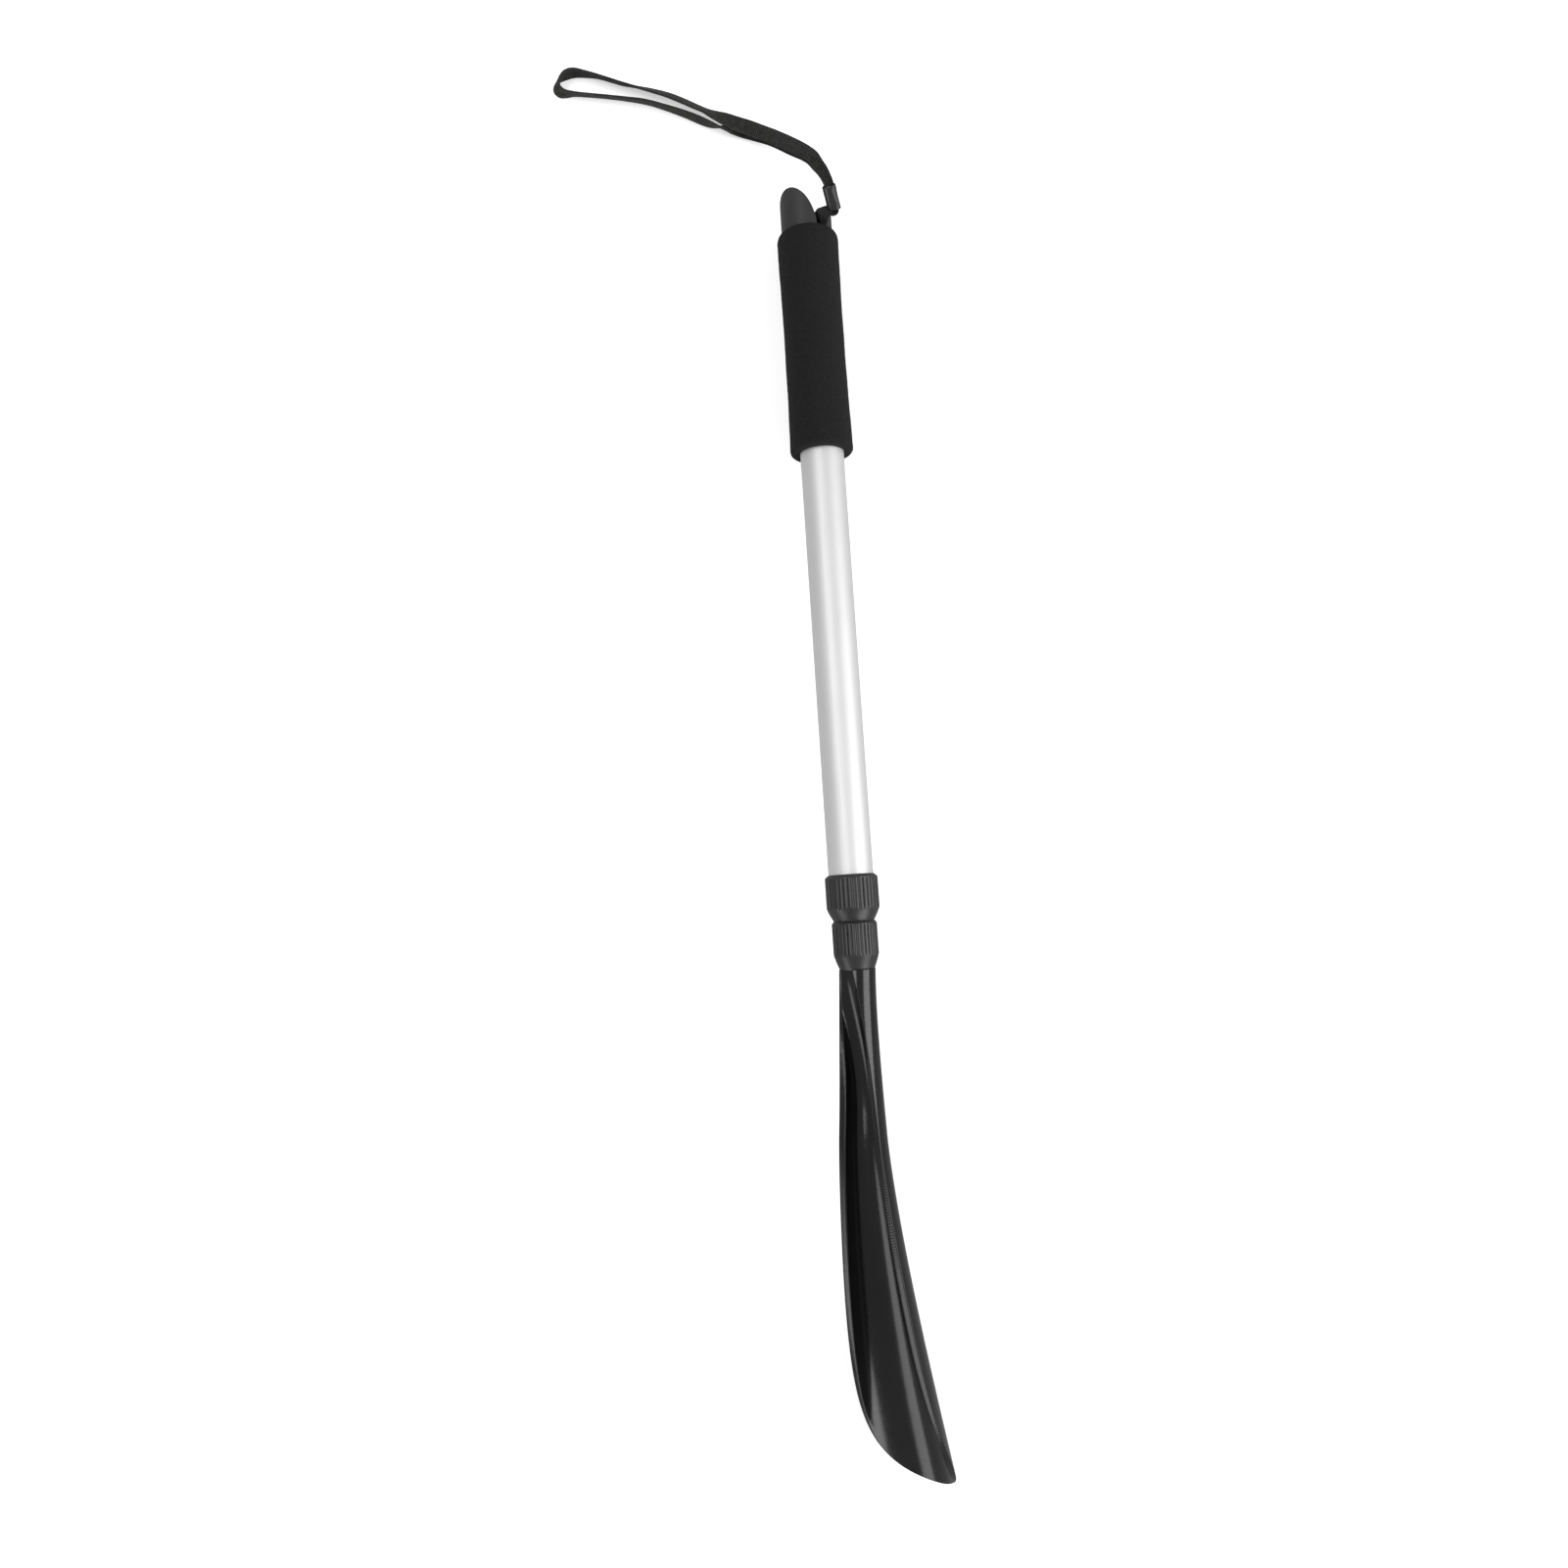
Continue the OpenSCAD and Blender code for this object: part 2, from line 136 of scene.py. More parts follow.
def soft_box(name, azimuth, elevation, size, brightness):
    """Area light facing the object; azimuth 0 is the handle's side and 90 the right."""
    turn, rise = math.radians(azimuth), math.radians(elevation)
    way = Vector((math.sin(turn) * math.cos(rise), math.cos(turn) * math.cos(rise), math.sin(rise)))
    data = bpy.data.lights.new(name, "AREA")
    data.shape = "RECTANGLE"
    data.size, data.size_y = size
    data.energy = brightness * POWER_PER_AREA * size[0] * size[1]
    light = bpy.data.objects.new(name, data)
    light.location = way * LIGHT_DISTANCE
    light.rotation_euler = way.to_track_quat("Z", "Y").to_euler()
    bpy.context.collection.objects.link(light)


def make_lights():
    world = bpy.data.worlds.new("studio")
    bpy.context.scene.world = world
    world.use_nodes = True
    background = world.node_tree.nodes["Background"]
    background.inputs["Color"].default_value = (1, 1, 1, 1)
    background.inputs["Strength"].default_value = WORLD_STRENGTH
    for box in SOFT_BOXES:
        soft_box(*box)


# ---------------------------------------------------------------- materials

NOISE_LOW = 0.3
NOISE_HIGH = 0.7


def grey(value):
    return value, value, value


def new_material(name, colour, roughness):
    """A Principled material; returns it with its node tree and shader node."""
    material = bpy.data.materials.new(name)
    material.use_nodes = True
    tree = material.node_tree
    shader = tree.nodes["Principled BSDF"]
    shader.inputs["Base Color"].default_value = (*colour, 1)
    shader.inputs["Roughness"].default_value = roughness
    return material, tree, shader


def add(tree, kind, **values):
    """A node with its inputs, or else its settings, given by name."""
    node = tree.nodes.new(kind)
    for name, value in values.items():
        if name in node.inputs:
            node.inputs[name].default_value = value
        else:
            setattr(node, name, value)
    return node


def coordinates(tree, scale=(1, 1, 1)):
    """Object coordinates, which are the frame's own, scaled in each direction."""
    place = add(tree, "ShaderNodeTexCoord")
    mapping = add(tree, "ShaderNodeMapping")
    mapping.inputs["Scale"].default_value = scale
    tree.links.new(place.outputs["Object"], mapping.inputs["Vector"])
    return mapping.outputs["Vector"]


def noise_on(tree, vector, scale, detail, roughness=0.55):
    node = add(tree, "ShaderNodeTexNoise", Scale=scale, Detail=detail, Roughness=roughness)
    tree.links.new(vector, node.inputs["Vector"])
    return node.outputs["Fac"]


def ranged(tree, value, low, high):
    """Noise spread over the range from low to high."""
    node = add(tree, "ShaderNodeMapRange")
    node.inputs["From Min"].default_value = NOISE_LOW
    node.inputs["From Max"].default_value = NOISE_HIGH
    node.inputs["To Min"].default_value = low
    node.inputs["To Max"].default_value = high
    tree.links.new(value, node.inputs["Value"])
    return node.outputs["Result"]


def blended(tree, value, dark, light):
    """Noise turned into colours from dark to light."""
    ramp = add(tree, "ShaderNodeValToRGB")
    ramp.color_ramp.elements[0].color = (*dark, 1)
    ramp.color_ramp.elements[1].color = (*light, 1)
    ramp.color_ramp.elements[0].position = NOISE_LOW
    ramp.color_ramp.elements[1].position = NOISE_HIGH
    tree.links.new(value, ramp.inputs["Fac"])
    return ramp.outputs["Color"]


def product(tree, a, b):
    node = add(tree, "ShaderNodeMath", operation="MULTIPLY")
    tree.links.new(a, node.inputs[0])
    tree.links.new(b, node.inputs[1])
    return node.outputs["Value"]


def bumped(tree, shader, height, depth, strength):
    bump = add(tree, "ShaderNodeBump", Strength=strength, Distance=depth)
    tree.links.new(height, bump.inputs["Height"])
    tree.links.new(bump.outputs["Normal"], shader.inputs["Normal"])


METAL_SHARE = 0.66
DRAWN_LINES = (3000, 18, 3000)
METAL_PATCHES = (60, 25, 60)


def aluminium(name, colour, roughness):
    """Satin anodised tube: fine drawn lines along its length."""
    material, tree, shader = new_material(name, colour, roughness)
    shader.inputs["Metallic"].default_value = METAL_SHARE
    lines = noise_on(tree, coordinates(tree, DRAWN_LINES), 1.0, detail=4.0)
    patch = noise_on(tree, coordinates(tree, METAL_PATCHES), 1.0, detail=2.0)
    darker = [c * 0.97 for c in colour]
    tree.links.new(blended(tree, patch, darker, colour), shader.inputs["Base Color"])
    tree.links.new(ranged(tree, lines, roughness - 0.05, roughness + 0.06), shader.inputs["Roughness"])
    bumped(tree, shader, lines, depth=0.00002, strength=0.35)
    return material


FOAM_DARK = grey(0.007)
FOAM_LIGHT = (0.015, 0.015, 0.0145)
FOAM_PORES = 2600
FOAM_GRAIN = 900


def foam_rubber():
    """Matte closed-cell foam with fine pores."""
    material, tree, shader = new_material("foam_rubber", grey(0.018), roughness=0.92)
    shader.inputs["Specular IOR Level"].default_value = 0.25
    vector = coordinates(tree)
    pores = add(tree, "ShaderNodeTexVoronoi", Scale=FOAM_PORES)
    tree.links.new(vector, pores.inputs["Vector"])
    grain = noise_on(tree, vector, FOAM_GRAIN, detail=5.0, roughness=0.65)
    tree.links.new(blended(tree, grain, FOAM_DARK, FOAM_LIGHT), shader.inputs["Base Color"])
    bumped(tree, shader, product(tree, pores.outputs["Distance"], grain), depth=0.0004, strength=0.8)
    return material


PLASTIC_PATCHES = 55
PLASTIC_SHINE = 0.07  # how much the roughness varies either way


def moulded_plastic(name, dark, light, roughness, grain_scale, depth):
    """Matte or satin moulding with a fine spark-eroded grain."""
    material, tree, shader = new_material(name, light, roughness)
    vector = coordinates(tree)
    grain = noise_on(tree, vector, grain_scale, detail=3.0, roughness=0.6)
    patch = noise_on(tree, vector, PLASTIC_PATCHES, detail=2.0)
    shine = ranged(tree, grain, roughness - PLASTIC_SHINE, roughness + PLASTIC_SHINE)
    tree.links.new(blended(tree, patch, dark, light), shader.inputs["Base Color"])
    tree.links.new(shine, shader.inputs["Roughness"])
    bumped(tree, shader, grain, depth, strength=0.5)
    return material


YARN_FIBRES = 2600
YARN_PATCHES = 420


def ribbon_yarn(name, dark, light):
    """Woven polyester yarn; its colour carries a painted highlight, lighter where a strand of the braid
    comes up.
    """
    material, tree, shader = new_material(name, light, roughness=0.78)
    shader.inputs["Sheen Weight"].default_value = 0.06
    shader.inputs["Sheen Roughness"].default_value = 0.5
    vector = coordinates(tree)
    fibres = noise_on(tree, vector, YARN_FIBRES, detail=4.0, roughness=0.7)
    patch = noise_on(tree, vector, YARN_PATCHES, detail=2.0)
    # painted highlight from the braid's raised strands, multiplied into the fibre noise below
    thread = add(tree, "ShaderNodeAttribute", attribute_name="thread")
    joined_noise = product(tree, fibres, ranged(tree, patch, 0.8, 1.25))
    fibres_and_strand_highlight = product(tree, joined_noise, thread.outputs["Fac"])
    tree.links.new(blended(tree, fibres_and_strand_highlight, dark, light), shader.inputs["Base Color"])
    bumped(tree, shader, fibres, depth=0.0001, strength=0.7)
    return material


FLOOR_GLOW = 0.5


def floor_paint():
    """White paint with a weak glow of its own."""
    material, tree, shader = new_material("floor_paint", grey(0.9), roughness=0.9)
    shader.inputs["Specular IOR Level"].default_value = 0.0
    shader.inputs["Emission Color"].default_value = (1, 1, 1, 1)
    shader.inputs["Emission Strength"].default_value = FLOOR_GLOW
    tone = noise_on(tree, coordinates(tree), 4.0, detail=2.0)
    tree.links.new(blended(tree, tone, grey(0.89), grey(0.91)), shader.inputs["Base Color"])
    return material


# ---------------------------------------------------------------- mesh helpers

def piece(name, points, faces, material, body):
    """A smooth mesh object that rides on a body of the frame."""
    mesh = bpy.data.meshes.new(name)
    mesh.from_pydata([tuple(p) for p in points], [], faces)
    mesh.validate()
    mesh.materials.append(material)
    mesh.shade_smooth()
    made = bpy.data.objects.new(name, mesh)
    bpy.context.collection.objects.link(made)
    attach(made, body)
    return made


def skin(rings, close_ring=True, join_ends=False, start_cap=False, end_cap=False):
    """Points and quads over rings of equal length, each ring a list of points."""
    count = len(rings[0])
    points = [p for ring in rings for p in ring]
    faces = []
    spans = len(rings) if join_ends else len(rings) - 1
    steps = count if close_ring else count - 1
    for k in range(spans):
        a, b = k * count, (k + 1) % len(rings) * count
        for i in range(steps):
            j = (i + 1) % count
            faces.append((a + i, a + j, b + j, b + i))
    if start_cap:
        faces.append(tuple(reversed(range(count))))
    if end_cap:
        faces.append(tuple(range(len(points) - count, len(points))))
    return points, faces


def merge_points(obj):
    """Merge points that lie on each other."""
    work = bmesh.new()
    work.from_mesh(obj.data)
    bmesh.ops.remove_doubles(work, verts=work.verts, dist=1e-6)
    bmesh.ops.dissolve_degenerate(work, edges=work.edges, dist=1e-7)
    work.to_mesh(obj.data)
    work.free()
    obj.data.shade_smooth()


def joined(first, second):
    """Two pairs of points and faces as one."""
    points, faces = first
    more_points, more_faces = second
    return points + more_points, faces + [tuple(len(points) + i for i in face) for face in more_faces]


def circle(r, station, steps):
    return [lay(r * math.sin(a), r * math.cos(a), station)
            for a in (2 * math.pi * k / steps for k in range(steps))]


def squared(value, power):
    """A sine or cosine pulled outwards, which makes a circle squarer."""
    return math.copysign(abs(value) ** power, value)


def turned(outline, steps, radius_at):
    """Rings of a turned shape: outline is a closed list of (radius, station), and radius_at adjusts it."""
    rings = []
    for i in range(steps):
        angle = 2 * math.pi * i / steps
        ring = []
        for outline_r, s in outline:
            r = radius_at(outline_r, s, angle)
            ring.append(lay(r * math.sin(angle), r * math.cos(angle), s))
        rings.append(ring)
    return rings


# ---------------------------------------------------------------- strap

STRAP_ROUTE = [  # x, y, z, roll in degrees, width: the route in part.scad, in mm
    (4.6, 318.4, 50.0, 0, 4.8), (3.3, 320.9, 51.8, 0, 5.2), (1.6, 324.3, 52.4, 0, 5.8),
    (-0.7, 328.3, 51.8, 0, 6.6), (-2.9, 333.1, 50.0, 0, 7.4), (-6.1, 338.0, 46.8, 0, 8.2),
    (-10.9, 344.6, 41.6, 0, 9), (-16.0, 351.4, 36.0, 0, 9), (-21.7, 358.3, 30.2, 0, 9),
    (-27.6, 363.9, 25.8, 0, 9), (-34.1, 368.5, 23.5, 2, 9), (-41.0, 371.6, 23.4, 8, 9),
    (-46.5, 374.2, 24.0, 20, 9), (-51.5, 376.8, 23.9, 34, 9), (-56.0, 379.4, 23.7, 46, 9),
    (-61.0, 382.1, 23.6, 46, 9), (-68.5, 386.1, 23.8, 45, 9), (-76.1, 389.8, 23.8, 46, 9),
    (-86.2, 393.4, 23.8, 51, 9), (-99.0, 397.4, 23.9, 65, 9), (-110.7, 401.9, 24.1, 68, 9),
    (-117.8, 403.8, 24.3, 76, 9), (-124.0, 404.8, 24.5, 85, 9), (-128.7, 403.8, 24.4, 84, 9),
    (-132.3, 401.2, 24.2, 68, 9), (-133.5, 398.4, 24.1, 60, 9), (-132.3, 395.6, 24.2, 72, 9),
    (-129.0, 393.7, 24.2, 98, 9), (-123.6, 393.0, 24.1, 112, 9), (-112.3, 391.4, 23.8, 115, 9),
    (-99.5, 389.1, 23.8, 114, 9), (-86.6, 386.2, 23.8, 109, 9), (-75.5, 381.9, 23.9, 105, 9),
    (-66.4, 377.9, 23.9, 100, 9), (-59.0, 374.2, 23.8, 97, 9), (-53.3, 371.5, 23.6, 104, 9),
    (-48.5, 370.2, 22.8, 124, 9), (-43.5, 369.8, 21.6, 152, 9), (-38.5, 369.3, 21.0, 171, 9),
    (-33.7, 367.6, 21.4, 179, 9), (-27.1, 363.3, 24.1, 180, 9), (-21.2, 357.8, 28.6, 180, 9),
    (-15.5, 350.7, 34.5, 180, 9), (-10.4, 343.9, 40.1, 180, 9), (-5.6, 337.4, 45.3, 180, 8.2),
    (-2.6, 332.5, 48.5, 180, 7.4), (-0.5, 328.0, 50.2, 180, 6.6), (1.6, 324.3, 50.8, 180, 5.8),
    (3.1, 321.4, 50.3, 180, 5.2), (4.3, 319.1, 48.6, 180, 4.8)]
STRAP_TUCK = (5.7, 315.6, 46.4, 0, 4.6)  # one end reaches this far into the crimp sleeve
RIBBON_W = 9.0
RIBBON_T = 1.15
BRAID_PITCH = 1.5
BRAID_DEPTH = 0.26
# painted highlight: how sharply the colour lightens towards the crest of each raised strand
STRAND_HIGHLIGHT_CONTRAST = 3
PLEAT_DEPTH = 1.1
PLEATS = 4.5
EDGE_POWER = 8  # how square the ribbon's edges are
STRAP_STEPS = 16
STRAP_COLUMNS = 44


def smooth_route(route, steps):
    """Catmull-Rom curve through the route's points."""
    last = len(route) - 1
    out = []
    for k in range(last):
        a, b, c, d = route[max(k - 1, 0)], route[k], route[k + 1], route[min(k + 2, last)]
        for i in range(steps):
            t = i / steps
            out.append([0.5 * (2 * q + (r - p) * t + (2 * p - 5 * q + 4 * r - s) * t * t
                               + (3 * q - p - 3 * r + s) * t ** 3) for p, q, r, s in zip(a, b, c, d)])
    out.append(list(route[last]))
    return out


def braid(across, along):
    """Height of a flat braid, 0 to 1, at a place on the ribbon in mm."""
    a = (across + along) / BRAID_PITCH
    b = (across - along) / BRAID_PITCH
    over = (math.floor(a) + math.floor(b)) % 2
    strand = b if over else a
    return abs(math.sin(math.pi * strand))


def rounded_edge(t):
    """Share of the ribbon's thickness at t, which runs from -1 to 1 across it."""
    return math.sqrt(max(1 - abs(t) ** EDGE_POWER, 0))


def ribbon(route, steps, columns):
    """Rings of a braided ribbon, pleated where it is pinched; also its path, and the painted highlight on
    the raised strands at each point.
    """
    path = smooth_route(route, steps)
    places = [Vector(p[:3]) for p in path]
    rings = []
    threads = []
    travelled = 0.0
    for k, (*_, roll, width) in enumerate(path):
        along = (places[min(k + 1, len(path) - 1)] - places[max(k - 1, 0)]).normalized()
        left = Vector((-along.y, along.x, 0)).normalized()
        up = along.cross(left)
        turn = math.radians(roll)
        across = left * math.cos(turn) + up * math.sin(turn)
        out = along.cross(across)
        if k:
            travelled += (places[k] - places[k - 1]).length
        pinch = 1 - width / RIBBON_W
        ring = []
        for side in (1, -1):
            for i in range(columns + 1):
                t = side * (1 - 2 * i / columns)
                over = braid(t * RIBBON_W / 2, travelled)
                # painted highlight: the colour is made lighter where a strand of the braid rises
                threads.append(over ** STRAND_HIGHLIGHT_CONTRAST)
                thick = side * rounded_edge(t) * (RIBBON_T / 2 + BRAID_DEPTH * (over - 0.5))
                pleat = PLEAT_DEPTH * pinch * math.cos(PLEATS * math.pi * t)
                ring.append((places[k] + across * (t * width / 2) + out * thick + up * pleat) * MM)
        rings.append(ring)
    return rings, [p * MM for p in places], threads


def store_strand_highlights(obj, threads):
    """Hand the material the painted highlight of the braid's raised strands at each point."""
    layer = obj.data.attributes.new("thread", "FLOAT", "POINT")
    layer.data.foreach_set("value", threads)


def make_strap(material):
    """The whole strap; returns it with its path and length."""
    rings, path, threads = ribbon([STRAP_TUCK, *STRAP_ROUTE], STRAP_STEPS, STRAP_COLUMNS)
    points, faces = skin(rings, start_cap=True, end_cap=True)
    strap = piece("wrist_strap_ribbon", points, faces, material, "handle")
    store_strand_highlights(strap, threads)
    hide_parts("wrist_strap")
    length = sum((b - a).length for a, b in zip(path, path[1:]))
    return strap, path, length


# ---------------------------------------------------------------- strap's sleeve and anchor loop

SLEEVE_FOOT = Vector((7.1, 309.9, 40.6))
SLEEVE_MOUTH = Vector((4.5, 318.2, 48.7))
SLEEVE_ROLL = math.radians(20)
SLEEVE_W = 7.0
SLEEVE_T = 5.0
SLEEVE_WALL = 0.45
SLEEVE_WAIST = 0.16
SLEEVE_ROUND = 0.25
SLEEVE_HOLLOW = 3.5  # depth of the hollow at each end
SLEEVE_CORE = 1.9  # inset of the solid middle
SLEEVE_STEPS = 72
SLEEVE_RINGS = 14


def make_sleeve(material):
    """Hollow crimped sleeve: a flattened tube with rolled edges and a slight waist."""
    along = (SLEEVE_MOUTH - SLEEVE_FOOT).normalized()
    level = Vector((0, 0, 1)).cross(along).normalized()
    side = level * math.cos(SLEEVE_ROLL) - along.cross(level) * math.sin(SLEEVE_ROLL)
    top = along.cross(side)
    length = (SLEEVE_MOUTH - SLEEVE_FOOT).length
    outline = [(0.0, -SLEEVE_WALL), (0.06, -0.18), (SLEEVE_ROUND, 0.0)]
    for k in range(1, SLEEVE_RINGS):
        waist = SLEEVE_WAIST * math.sin(math.pi * k / SLEEVE_RINGS) ** 2
        outline.append((length * k / SLEEVE_RINGS, -waist))
    outline += [(length - SLEEVE_ROUND, 0.0), (length - 0.06, -0.18), (length, -SLEEVE_WALL / 2),
                (length - 0.2, -SLEEVE_WALL), (length - SLEEVE_HOLLOW, -SLEEVE_WALL - 0.05),
                (length - SLEEVE_HOLLOW - 0.1, -SLEEVE_CORE), (SLEEVE_HOLLOW, -SLEEVE_CORE),
                (SLEEVE_HOLLOW - 0.1, -SLEEVE_WALL), (0.1, -SLEEVE_WALL)]
    rings = []
    for at, inset in outline:
        ring = []
        for i in range(SLEEVE_STEPS):
            angle = 2 * math.pi * i / SLEEVE_STEPS
            across = squared(math.cos(angle), 0.75) * (SLEEVE_W / 2 + inset)
            high = squared(math.sin(angle), 0.8) * (SLEEVE_T / 2 + inset)
            ring.append((SLEEVE_FOOT + along * at + side * across + top * high) * MM)
        rings.append(ring)
    points, faces = skin(rings, join_ends=True)
    sleeve = piece("crimp_sleeve", points, faces, material, "handle")
    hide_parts("strap_sleeve")
    return sleeve


BAR_TURN = math.radians(45)
BAR_OUT = 4.13
BAR_AT = 17.0
BAR_R = 1.6
BAR_HALF = 11.0
LOOP_HALF = 2.5
LOOP_FIT = 0.06
LOOP_STEPS = 96
LOOP_COLUMNS = 20
LOOP_BRAID = 1.4  # length of the braid round the loop, against the bar's own
# painted highlight level, the same all round the ribbon's loop on the bar
LOOP_STRAND_HIGHLIGHT = 0.4
ANCHOR_STEPS = 14
ANCHOR_COLUMNS = 40
ANCHOR_ROUTE = [  # x, y, z, roll, width, in mm: from the bar's loop through the notch to the sleeve
    (-2.8, 307.4, 37.3, 90, 5), (-1.6, 307.0, 39.4, 72, 5.6), (-0.4, 306.6, 41.0, 36, 7.4),
    (1.3, 307.4, 41.9, 10, 7.2), (3.2, 308.7, 41.6, 2, 5.8), (5.0, 309.2, 40.6, 0, 5.0),
    (6.4, 309.2, 39.8, 0, 4.6), (7.2, 309.7, 40.0, 0, 4.4), (6.9, 310.9, 41.4, 0, 4.2)]


def bar_frame(side, out, station):
    """Point from offsets along the strap's bar and outwards across it."""
    x = side * math.cos(BAR_TURN) + out * math.sin(BAR_TURN)
    up = -side * math.sin(BAR_TURN) + out * math.cos(BAR_TURN)
    return lay(x, up, station)


def round_bar(side, r, angle):
    """Point round the strap's bar, at a distance along it and a radius."""
    return bar_frame(side, BAR_OUT + r * math.cos(angle), BAR_AT + r * math.sin(angle))


def bar_loop():
    """Band of ribbon round the bar."""
    inner = BAR_R + LOOP_FIT
    rings = []
    for k in range(LOOP_STEPS):
        angle = 2 * math.pi * k / LOOP_STEPS
        ring = []
        for i in range(LOOP_COLUMNS + 1):
            t = 2 * i / LOOP_COLUMNS - 1
            height = BRAID_DEPTH * (braid(t * LOOP_HALF, angle * BAR_R * LOOP_BRAID) - 0.5)
            ring.append(round_bar(t * LOOP_HALF, inner + RIBBON_T * rounded_edge(t) + 0.02 + height, angle))
        ring.append(round_bar(LOOP_HALF, inner, angle))
        ring.append(round_bar(-LOOP_HALF, inner, angle))
        rings.append(ring)
    return skin(rings, join_ends=True)


def make_anchor(material):
    """Ribbon looped round the bar, its two layers stitched together before they reach the sleeve."""
    rings, _, threads = ribbon(ANCHOR_ROUTE, ANCHOR_STEPS, ANCHOR_COLUMNS)
    loop = bar_loop()
    points, faces = joined(skin(rings, start_cap=True, end_cap=True), loop)
    anchor = piece("strap_anchor_loop", points, faces, material, "handle")
    # the loop round the bar gets an even painted highlight
    store_strand_highlights(anchor, threads + [LOOP_STRAND_HIGHLIGHT] * len(loop[0]))
    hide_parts("strap_anchor")
    return anchor


# ---------------------------------------------------------------- handle

CAP_R = 13.0
CAP_BORE = 11.0
CAP_END = 56.0
CAP_FLOOR = 24.0
SOCKET_START = 26.0
SOCKET_R = 11.05
TONGUE_AT = -48.0
TONGUE_HALF = 70.0
TONGUE_TOP = 2.1
TONGUE_POWER = 0.57
NOTCH_FLOOR = 23.5
NOTCH_END = 49.0
LOW_WALL = 12.5
LOW_WALL_POWER = 0.8
CAP_STEPS = 540
CAP_ROUND = 0.75
CAP_BEVEL = 0.5
BAR_STEPS = 40


def cap_edge(angle):
    """Station of the cap's edge: a tall rounded tongue, the strap's notch, and a low wall behind."""
    degrees = math.degrees(angle)
    turn = degrees - 360 if degrees > 180 else degrees
    t = abs(turn - TONGUE_AT) / TONGUE_HALF
    tongue = TONGUE_TOP + (NOTCH_FLOOR - TONGUE_TOP) * (1 - (1 - min(t * t, 1)) ** TONGUE_POWER)
    if turn <= -90:
        return min(tongue, LOW_WALL)
    if turn <= NOTCH_END:
        return tongue
    t = min((turn - NOTCH_END) / (90 - NOTCH_END), 1)
    return mix(NOTCH_FLOOR, LOW_WALL, (1 - (1 - t) ** 2) ** LOW_WALL_POWER)


def cap_column(top):
    """Section of the cap's wall as (radius, station), from its floor over its edge to the tube's socket."""
    low = CAP_FLOOR - 0.38
    column = [(0, CAP_FLOOR), (5, CAP_FLOOR), (CAP_BORE - 0.7, CAP_FLOOR), (CAP_BORE - 0.2, CAP_FLOOR - 0.2)]
    column += [(CAP_BORE, mix(low, min(top + CAP_ROUND, low), k / 10)) for k in range(11)]
    for k in range(1, 6):
        turn = math.pi / 2 * k / 6
        column.append((CAP_BORE + CAP_ROUND * (1 - math.cos(turn)),
                       min(top + CAP_ROUND * (1 - math.sin(turn)), low)))
    for k in range(7):
        turn = math.pi / 2 * k / 6
        column.append((CAP_R - CAP_ROUND + CAP_ROUND * math.sin(turn),
                       top + CAP_ROUND * (1 - math.cos(turn))))
    column += [(CAP_R, mix(top + CAP_ROUND, SOCKET_START, k / 8)) for k in range(1, 9)]
    column += [(CAP_R, CAP_END - CAP_BEVEL), (CAP_R - CAP_BEVEL, CAP_END), (SOCKET_R, CAP_END),
               (SOCKET_R, SOCKET_START), (0, SOCKET_START)]
    return column


def make_cap(material):
    """Hollow end cap with its cut-away edge, and the bar across its mouth."""
    rings = []
    for i in range(CAP_STEPS):
        angle = 2 * math.pi * i / CAP_STEPS
        rings.append([lay(r * math.sin(angle), r * math.cos(angle), s)
                      for r, s in cap_column(cap_edge(angle))])
    bar = [[round_bar(side, BAR_R, 2 * math.pi * k / BAR_STEPS) for k in range(BAR_STEPS)]
           for side in (-BAR_HALF, BAR_HALF)]
    points, faces = joined(skin(rings, close_ring=False, join_ends=True),
                           skin(bar, start_cap=True, end_cap=True))
    cap = piece("end_cap_shell", points, faces, material, "handle")
    merge_points(cap)
    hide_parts("end_cap")


FOAM_START = 24.0
FOAM_END = 139.5
FOAM_TOP_R = 15.7
FOAM_LOW_R = 15.9
FOAM_WAIST = 0.6
FOAM_ROUND = 4.0
FOAM_FOOT_ROUND = 2.2
FOAM_RINGS = 170
FOAM_STEPS = 300
DENTS, DENT_SIZE = 0.16, 17.0
RIPPLES, RIPPLE_SIZE = 0.07, 2.4
PORES, PORE_SIZE = 0.10, 0.9


def foam_radius(s):
    """Radius of the foam at station s: it widens downwards and has a slight waist."""
    t = min(max((s - FOAM_START) / (FOAM_END - FOAM_START), 0), 1)
    return mix(FOAM_TOP_R, FOAM_LOW_R, t) - FOAM_WAIST * math.sin(math.pi * t)


